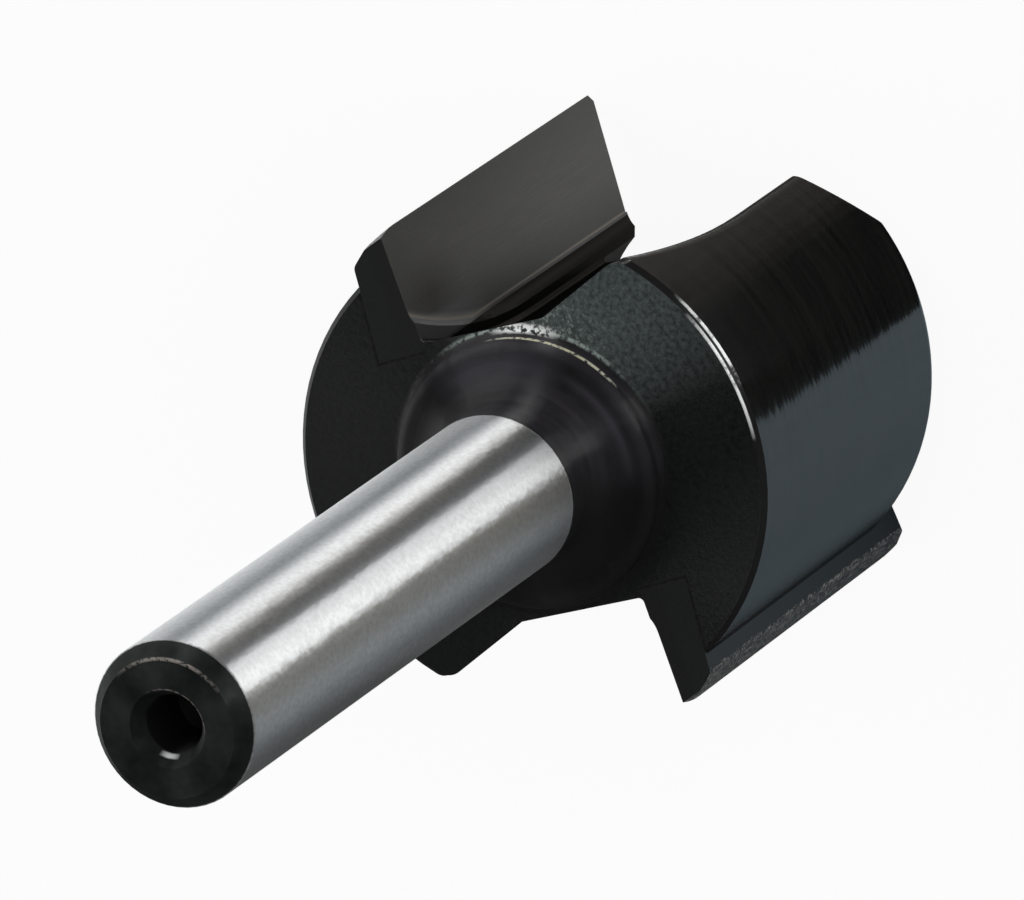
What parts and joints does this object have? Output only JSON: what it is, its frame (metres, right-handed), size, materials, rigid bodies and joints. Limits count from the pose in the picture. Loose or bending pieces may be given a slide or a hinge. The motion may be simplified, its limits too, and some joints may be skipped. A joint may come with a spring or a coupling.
{
  "type": "grooving router bit",
  "caption": "Straight router bit for grooves: round shank, black turned head with straight flutes and brazed carbide tips.",
  "frame": {"origin": "on the bit's axis, in the plane that the cutting end touches when the bit stands on its head", "axes": "+Z along the axis from the cutting end to the shank's end; +X through the cutting edge of the first tip"},
  "size_m": [0.02, 0.018, 0.05],
  "materials": {
    "blackened_steel": "turned steel with a black coating on the head; the shank is ground bright",
    "ground_carbide": "fine ground tungsten carbide, satin grey",
    "silver_braze": "thin silver braze, dulled"
  },
  "bodies": {
    "root": {"steel_body": "blackened_steel", "carbide_tip_1": "ground_carbide", "carbide_tip_2": "ground_carbide", "braze_seam_1": "silver_braze", "braze_seam_2": "silver_braze"}
  },
  "joints": []
}
